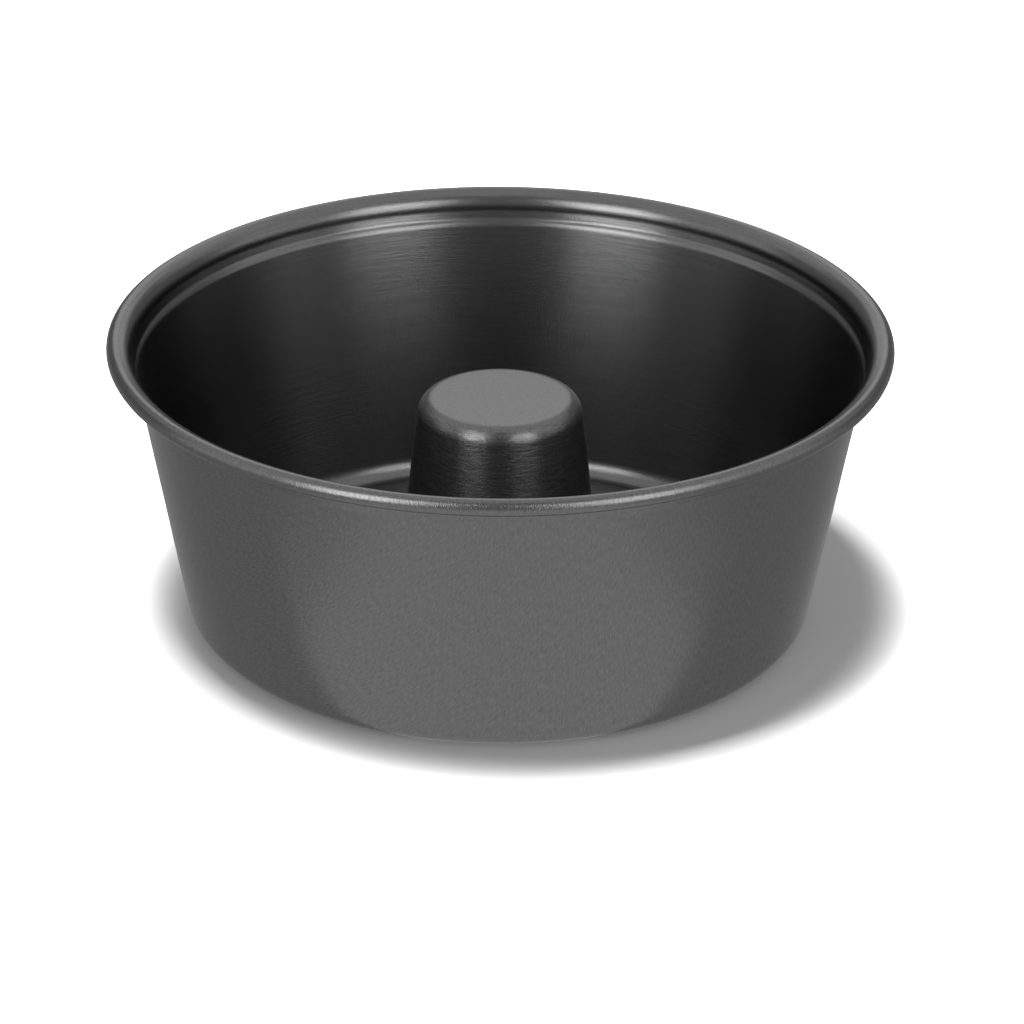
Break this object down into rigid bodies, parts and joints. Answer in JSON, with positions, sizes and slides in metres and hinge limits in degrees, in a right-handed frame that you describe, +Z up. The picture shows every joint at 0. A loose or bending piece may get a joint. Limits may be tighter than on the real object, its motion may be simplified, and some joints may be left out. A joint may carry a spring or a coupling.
{
  "type": "angel food cake pan",
  "caption": "Round deep cake tin with leaning sides, a rolled rim, a closed centre tube and a loose lift-out base that carries the tube.",
  "frame": {"origin": "on the pan's axis, at the height of the table it stands on", "axes": "+Z up along the pan's axis, towards its mouth; the pan is round, so +X and +Y are any two sides"},
  "size_m": [0.2552, 0.2552, 0.0984],
  "materials": {
    "shell_metal": "dark grey satin anodised, with fine spinning lines",
    "base_metal": "dark grey satin anodised, with fine turning lines",
    "tube_metal": "dark grey satin anodised, with fine spinning lines"
  },
  "bodies": {
    "shell": {"pan_shell": "shell_metal"},
    "insert": {"base_plate": "base_metal", "centre_tube": "tube_metal"}
  },
  "joints": [
    {"name": "base_lift", "type": "slide", "parent": "shell", "child": "insert", "axis": [0, 0, 1], "range_m": [0, 0.115]}
  ]
}
